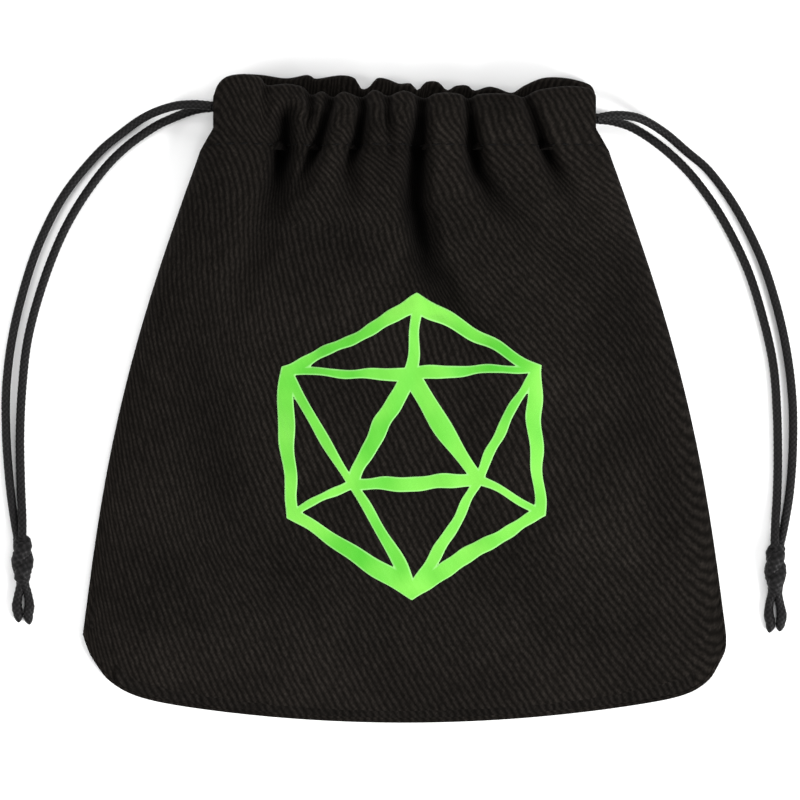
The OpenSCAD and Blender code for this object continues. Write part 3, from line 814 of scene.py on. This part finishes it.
def make_seams(material):
    """The seam allowances, two plies sewn together inside the pouch along its sides and bottom."""
    y = np.linspace(float(bottom_y(np.array(1.0))) + 4 * MM, HEM_Y - 1 * MM, 90)
    for side, out in (("left", -1), ("right", 1)):
        line = np.stack([out * (half_w(y) - SEAM_INSET), y, allowance_z(y)], -1)
        across = np.stack([0 * y - out * SEAM_W, 0 * y, 0 * y], -1)
        strip = strip_along(line, across, f"{side}_seam_allowance", material, SEAM_T, 0.1 * MM)
        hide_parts(f"{side}_side_seam")
        follow_mouth(strip)
    s = np.linspace(-0.9, 0.9, 120)
    line = np.stack([s * BAG_HALF_W, bottom_y(s) + SEAM_INSET, 0 * s + SEAM_LEAST_Z], -1)
    across = np.tile([0, SEAM_W, 0], (len(s), 1))
    strip = strip_along(line, across, "bottom_seam_allowance", material, SEAM_T, 0.1 * MM)
    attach(strip, "root")
    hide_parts("bottom_seam")


def make_vent_hems(material):
    """The turned edge that lines each vent between the two hems."""
    for side in ("left", "right"):
        low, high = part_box(f"{side}_vent_hem")
        y = np.linspace(low.y, high.y, 20)
        line = np.stack([0 * y + low.x, y, 0 * y + (low.z + high.z) / 2], -1)
        across = np.tile([high.x - low.x, 0, 0], (len(y), 1))
        strip = strip_along(line, across, f"{side}_vent_edge", material, high.z - low.z)
        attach(strip, f"{side}_mouth_end")
        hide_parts(f"{side}_vent_hem")


def stitch_tree(thread):
    """Geometry nodes that set stitches end to end along a line of edges."""
    tree = bpy.data.node_groups.new("row_of_stitches", "GeometryNodeTree")
    face = tree.interface
    face.new_socket("Line", in_out="INPUT", socket_type="NodeSocketGeometry")
    for name, value in (("Pitch", STITCH_PITCH), ("Stitch length", STITCH_L), ("Thread width", THREAD_W)):
        face.new_socket(name, in_out="INPUT", socket_type="NodeSocketFloat").default_value = value
    face.new_socket("Seed", in_out="INPUT", socket_type="NodeSocketInt").default_value = 7
    face.new_socket("Stitches", in_out="OUTPUT", socket_type="NodeSocketGeometry")

    def add(kind, inputs=None, **settings):
        """Adds a node with its settings and its inputs, and gives its outputs."""
        made = tree.nodes.new(kind)
        for key, value in settings.items():
            setattr(made, key, value)
        for name, value in (inputs or {}).items():
            if isinstance(value, bpy.types.NodeSocket):
                tree.links.new(value, made.inputs[name])
            else:
                made.inputs[name].default_value = value
        return made.outputs

    given = add("NodeGroupInput")
    line = add("GeometryNodeMeshToCurve", {"Mesh": given["Line"]})["Curve"]
    spots = add("GeometryNodeCurveToPoints", {"Curve": line, "Length": given["Pitch"]}, mode="LENGTH")
    width = given["Thread width"]
    size = add("ShaderNodeCombineXYZ", {"X": given["Stitch length"], "Y": width, "Z": width})["Vector"]
    ball = add("GeometryNodeMeshUVSphere", {"Segments": 8, "Rings": 5, "Radius": 0.5})["Mesh"]
    stitch = add("GeometryNodeTransform", {"Geometry": ball, "Scale": size})["Geometry"]
    wobble = add("FunctionNodeRandomValue", {"Min": (-0.05, -0.05, -0.09), "Max": (0.05, 0.05, 0.09),
                                             "Seed": given["Seed"]}, data_type="FLOAT_VECTOR")["Value"]
    tilt = add("FunctionNodeEulerToRotation", {"Euler": wobble})["Rotation"]
    ahead = add("FunctionNodeAlignRotationToVector", {"Vector": spots["Tangent"]}, axis="X")["Rotation"]
    turned = add("FunctionNodeRotateRotation", {"Rotation": ahead, "Rotate By": tilt},
                 rotation_space="LOCAL")["Rotation"]
    row = add("GeometryNodeInstanceOnPoints", {"Points": spots["Points"], "Instance": stitch,
                                               "Rotation": turned})["Instances"]
    real = add("GeometryNodeRealizeInstances", {"Geometry": row})["Geometry"]
    smoothed = add("GeometryNodeSetShadeSmooth", {"Geometry": real})["Geometry"]
    painted = add("GeometryNodeSetMaterial", {"Geometry": smoothed, "Material": thread})["Geometry"]
    add("NodeGroupOutput", {"Stitches": painted})
    return tree


def sew(name, line, tree, thread, seed):
    """A row of stitches along a line, as a plain mesh."""
    edges = [(i, i + 1) for i in range(len(line) - 1)]
    mesh = bpy.data.meshes.new(name)
    mesh.from_pydata([tuple(map(float, p)) for p in line], edges, [])
    guide = bpy.data.objects.new(name + "_line", mesh)
    bpy.context.scene.collection.objects.link(guide)
    modifier = guide.modifiers.new("stitches", "NODES")
    modifier.node_group = tree
    values = {"Pitch": STITCH_PITCH, "Stitch length": STITCH_L, "Thread width": THREAD_W, "Seed": seed}
    for item in tree.interface.items_tree:
        if item.item_type == "SOCKET" and item.in_out == "INPUT" and item.name in values:
            modifier[item.identifier] = values[item.name]
    guide.update_tag()
    bpy.context.view_layer.update()
    evaluated = guide.evaluated_get(bpy.context.evaluated_depsgraph_get())
    sewn = bpy.data.objects.new(name, bpy.data.meshes.new_from_object(evaluated))
    bpy.data.objects.remove(guide)
    if not sewn.data.materials:
        sewn.data.materials.append(thread)
    bpy.context.scene.collection.objects.link(sewn)
    return sewn


def make_stitches(front, back, thread):
    """Stitching along both hems, and inside along the seam allowances."""
    tree = stitch_tree(thread)
    for cloth, name, lift, raised in ((front, "front", 0.02 * MM, 0), (back, "back", 0, 0.28 * MM)):
        row = np.searchsorted(cloth.rows, 1.06)
        middle = len(cloth.columns) // 2
        line = cloth.points[row] + cloth.normals[row] * lift + np.array([0, 0, raised])
        for side, part in (("left", line[4:middle]), ("right", line[middle + 1:-4])):
            sewn = sew(f"{side}_{name}_hem_stitches", spaced(part, 0.5 * MM), tree, thread, 3)
            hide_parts(f"{name}_casing_stitches")
            follow_mouth(sewn)
    y = np.linspace(-48 * MM, HEM_Y - 4 * MM, 60)
    on_top = SEAM_T / 2 + 0.05 * MM
    for side, out in (("left", -1), ("right", 1)):
        x = out * (half_w(y) - SEAM_INSET - SEAM_W + 1 * MM)
        line = np.stack([x, y, allowance_z(y) + on_top], -1)
        sewn = sew(f"{side}_seam_stitching", line, tree, thread, 5)
        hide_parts(f"{side}_seam_stitches")
        follow_mouth(sewn)
    s = np.linspace(-0.86, 0.86, 80)
    line = np.stack([s * BAG_HALF_W, bottom_y(s) + SEAM_W - 0.2 * MM, 0 * s + SEAM_LEAST_Z + on_top], -1)
    sewn = sew("bottom_seam_stitching", line, tree, thread, 9)
    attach(sewn, "root")
    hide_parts("bottom_seam_stitches")


# ---- materials
class Finish:
    """Builds a material's nodes with few words."""

    def __init__(self, name, roughness, sheen=0.0, specular=0.5):
        self.material = bpy.data.materials.new(name)
        self.material.use_nodes = True
        self.tree = self.material.node_tree
        self.shader = self.tree.nodes["Principled BSDF"]
        self.shader.inputs["Roughness"].default_value = roughness
        self.shader.inputs["Sheen Weight"].default_value = sheen
        self.shader.inputs["Sheen Roughness"].default_value = 0.5
        self.shader.inputs["Specular IOR Level"].default_value = specular

    def node(self, kind, **settings):
        made = self.tree.nodes.new(kind)
        for key, value in settings.items():
            setattr(made, key, value)
        return made

    def put(self, value, socket):
        if isinstance(value, bpy.types.NodeSocket):
            self.tree.links.new(value, socket)
        else:
            socket.default_value = value

    def math(self, operation, a, b=0.0):
        made = self.node("ShaderNodeMath", operation=operation)
        self.put(a, made.inputs[0])
        self.put(b, made.inputs[1])
        return made.outputs[0]

    def fit(self, value, low, high, to_low=0.0, to_high=1.0):
        made = self.node("ShaderNodeMapRange")
        for socket, v in zip(made.inputs, (value, low, high, to_low, to_high)):
            self.put(v, socket)
        return made.outputs[0]

    def noise(self, place, scale, detail=2.0, stretch=(1, 1, 1)):
        moved = self.node("ShaderNodeMapping")
        self.put(place, moved.inputs["Vector"])
        moved.inputs["Scale"].default_value = stretch
        made = self.node("ShaderNodeTexNoise")
        self.put(moved.outputs[0], made.inputs["Vector"])
        made.inputs["Scale"].default_value = scale
        made.inputs["Detail"].default_value = detail
        return made.outputs[0]

    def colour(self, share, dark, light):
        made = self.node("ShaderNodeMix", data_type="RGBA")
        self.put(share, made.inputs[0])
        self.put((*dark, 1) if isinstance(dark, tuple) else dark, made.inputs[6])
        self.put((*light, 1) if isinstance(light, tuple) else light, made.inputs[7])
        return made.outputs[2]

    def bumps(self, height, distance, strength=1.0):
        made = self.node("ShaderNodeBump")
        made.inputs["Strength"].default_value = strength
        made.inputs["Distance"].default_value = distance
        self.put(height, made.inputs["Height"])
        self.put(made.outputs[0], self.shader.inputs["Normal"])

    def uv(self):
        made = self.node("ShaderNodeUVMap", uv_map="cloth")
        return made.outputs[0]

    def object_place(self):
        return self.node("ShaderNodeTexCoord").outputs["Object"]

    def apart(self, place):
        made = self.node("ShaderNodeSeparateXYZ")
        self.put(place, made.inputs[0])
        return made.outputs


TWILL_LEAN = math.radians(29.5)
YARN_W = 0.73 * MM
PICK_L = 0.9 * MM


def twill_height(f, place):
    """The weave's height from 0 to 1: slanting ribs, each made of short upright yarns."""
    x, y, _ = f.apart(place)
    across = f.math("ADD", f.math("MULTIPLY", x, math.cos(TWILL_LEAN)),
                    f.math("MULTIPLY", y, math.sin(TWILL_LEAN)))
    stray = f.fit(f.noise(place, 420, 3), 0.2, 0.8, -0.34 * MM, 0.34 * MM)
    across = f.math("ADD", across, stray)
    rib = f.math("SINE", f.math("MULTIPLY", across, 2 * math.pi / TWILL_PITCH))
    rib = f.fit(rib, -1, 1)
    yarn = f.math("SINE", f.math("MULTIPLY", x, 2 * math.pi / YARN_W))
    pick = f.math("SINE", f.math("MULTIPLY", y, 2 * math.pi / PICK_L))
    bead = f.fit(f.math("MULTIPLY", yarn, pick), -1, 1, 0.55, 1.1)
    slub = f.fit(f.noise(place, 900, 3, (1, 0.35, 1)), 0.3, 0.7, 0.4, 1.25)
    return f.math("MULTIPLY", f.math("MULTIPLY", rib, slub), bead)


def twill_finish(name, shaded_groove, rib):
    """Black cotton twill, a little warm where it has rubbed, with painted shade in the grooves of its weave
    and in its creases.
    """
    f = Finish(name, 0.95, sheen=0.01, specular=0.035)
    f.shader.inputs["Sheen Tint"].default_value = (1.0, 0.86, 0.8, 1)
    place = f.uv()
    height = twill_height(f, place)
    # Painted shade: the weave's grooves take the darker colour and its ribs the lighter one, following the
    # weave's height.
    weave = f.colour(height, shaded_groove, rib)
    worn = f.fit(f.noise(place, 42, 3), 0.32, 0.7, 0.75, 1.25)
    lint = f.fit(f.noise(place, 1300, 2), 0.25, 0.75, 0.6, 1.4)
    # Painted shade: the colour darkens with the depth of the front's folds, down to 0.15 of itself at the
    # deepest.
    painted_crease_shade = f.fit(f.node("ShaderNodeAttribute", attribute_name="crease_shade").outputs["Fac"], 0, 1, 1, 0.15)
    scale = f.node("ShaderNodeVectorMath", operation="SCALE")
    f.put(weave, scale.inputs[0])
    f.put(f.math("MULTIPLY", f.math("MULTIPLY", worn, lint), painted_crease_shade), scale.inputs["Scale"])
    f.put(scale.outputs[0], f.shader.inputs["Base Color"])
    f.put(f.fit(height, 0, 1, 1.0, 0.88), f.shader.inputs["Roughness"])
    f.bumps(height, 0.1 * MM, 0.55)
    return f.material


def braid_finish():
    """Waxed braided cord, with a soft shine on the yarns that lie on top and painted shade in the grooves
    between them.
    """
    f = Finish("black_braid", 0.5, specular=0.14)
    place = f.uv()
    round_it, along, _ = f.apart(place)
    a = f.math("COSINE", f.math("MULTIPLY", round_it, 2 * math.pi * PLAITS))
    b = f.math("COSINE", f.math("MULTIPLY", along, math.pi / PLAIT_L))
    over = f.fit(f.math("MULTIPLY", a, b), -1, 1)
    fibre = f.fit(f.noise(f.object_place(), 2600, 2), 0.3, 0.7)
    height = f.math("ADD", f.math("MULTIPLY", over, 0.8), f.math("MULTIPLY", fibre, 0.2))
    # Painted shade: the colour goes nearly black where the braid's relief is low, between its yarns.
    f.put(f.colour(f.math("POWER", height, 2), (0.0004, 0.0004, 0.0004), (0.0135, 0.0122, 0.013)),
          f.shader.inputs["Base Color"])
    f.put(f.fit(height, 0, 1, 0.72, 0.42), f.shader.inputs["Roughness"])
    f.bumps(height, 0.1 * MM, 0.9)
    return f.material


def paint_finish():
    """Screen-printed green, thicker along its edges, with soft patches where it soaked in."""
    f = Finish("green_paint", 0.55, specular=0.3)
    place = f.object_place()
    patch = f.fit(f.noise(place, 55, 2), 0.3, 0.72)
    green = f.colour(patch, (0.045, 0.345, 0.01), (0.165, 0.52, 0.055))
    depth = f.node("ShaderNodeAttribute", attribute_name="from_edge")
    near_edge = f.fit(depth.outputs["Fac"], 0.1 * MM, 0.42 * MM, 1, 0)
    thick = f.math("MULTIPLY", near_edge, 0.55)
    f.put(f.colour(thick, green, (0.3, 0.6, 0.22)), f.shader.inputs["Base Color"])
    weave = twill_height(f, f.uv())
    f.put(f.fit(weave, 0, 1, 0.6, 0.48), f.shader.inputs["Roughness"])
    f.bumps(weave, 0.05 * MM, 0.5)
    return f.material


def thread_finish():
    """Black polyester thread, twisted, with painted shade between its plies."""
    f = Finish("black_thread", 0.85, specular=0.04)
    place = f.object_place()
    x, y, z = f.apart(place)
    slant = f.math("ADD", f.math("ADD", x, y), z)
    ply = f.fit(f.math("SINE", f.math("MULTIPLY", slant, 2 * math.pi / (0.3 * MM))), -1, 1)
    # Painted shade: the colour is darker in the grooves of the twist and lighter on its plies.
    f.put(f.colour(ply, (0.002, 0.002, 0.002), (0.008, 0.0078, 0.0078)), f.shader.inputs["Base Color"])
    f.bumps(ply, 0.05 * MM, 0.8)
    return f.material


def floor_finish():
    """Plain pale floor."""
    f = Finish("pale_floor", 0.9, specular=0.1)
    grain = f.fit(f.noise(f.object_place(), 30, 2), 0.3, 0.7)
    f.put(f.colour(grain, (0.9, 0.9, 0.9), (0.93, 0.93, 0.93)), f.shader.inputs["Base Color"])
    return f.material


# ---- camera, light and floor
def make_camera():
    """Straight down from one metre, with the bag's mouth at the top of the view."""
    height, view_w = 1.0, 0.1861
    data = bpy.data.cameras.new("camera")
    data.sensor_width = 36
    data.lens = data.sensor_width * height / view_w
    data.clip_start, data.clip_end = 0.01, 10
    camera = bpy.data.objects.new("camera", data)
    camera.location = (-1.05 * MM, 0.2 * MM, height + 4 * MM)
    bpy.context.scene.collection.objects.link(camera)
    bpy.context.scene.camera = camera


def soft_light(name, place, size, watts):
    """A square lamp that looks at the bag."""
    data = bpy.data.lights.new(name, "AREA")
    data.shape, data.size, data.energy = "SQUARE", size, watts
    lamp = bpy.data.objects.new(name, data)
    lamp.location = place
    lamp.rotation_euler = (-Vector(place)).to_track_quat("-Z", "Y").to_euler()
    bpy.context.scene.collection.objects.link(lamp)


def make_light_and_floor():
    soft_light("key", (0.75, -0.6, 0.62), 0.45, 19)
    soft_light("fill", (-0.8, -0.2, 0.7), 0.6, 8)
    soft_light("mouth", (0.25, 0.9, 0.6), 0.6, 8)
    soft_light("overhead", (0.2, -0.1, 1.5), 0.5, 4)
    world = bpy.data.worlds.new("room")
    world.use_nodes = True
    world.node_tree.nodes["Background"].inputs["Color"].default_value = (1, 1, 1, 1)
    world.node_tree.nodes["Background"].inputs["Strength"].default_value = 0.25
    bpy.context.scene.world = world
    bpy.context.scene.view_settings.view_transform = "Standard"
    corners = [(-3, -3, 0), (3, -3, 0), (3, 3, 0), (-3, 3, 0)]
    floor = new_mesh("floor", corners, [(0, 1, 2, 3)], None, floor_finish(), smooth_faces=False)


# ---- the bag
def main():
    make_camera()
    make_light_and_floor()
    braid, thread = braid_finish(), thread_finish()
    # Each twill's first colour is its weave's grooves in painted shade, its second its ribs.
    twill = twill_finish("black_twill", (0.0034, 0.0029, 0.0024), (0.0128, 0.0108, 0.0092))
    seam_cloth = twill_finish("seam_twill", (0.003, 0.0026, 0.0022), (0.0105, 0.009, 0.0078))
    for side in ("left", "right"):
        knot = make_knot(side, braid)
        for which in ("front", "back"):
            make_leg(side, which, braid)
    make_loops(braid)

    columns, rows = cloth_columns(120), cloth_rows(176, 24, 8, 16)
    front = make_cloth("front", settled(front_cloth(columns, rows), rows), columns, rows, twill, True)
    columns, rows = cloth_columns(70), cloth_rows(90, 14, 8, 12)
    back = make_cloth("back", back_cloth(columns, rows), columns, rows, twill, False)

    make_mark(front, paint_finish())
    make_seams(seam_cloth)
    make_vent_hems(seam_cloth)
    make_stitches(front, back, thread)


main()
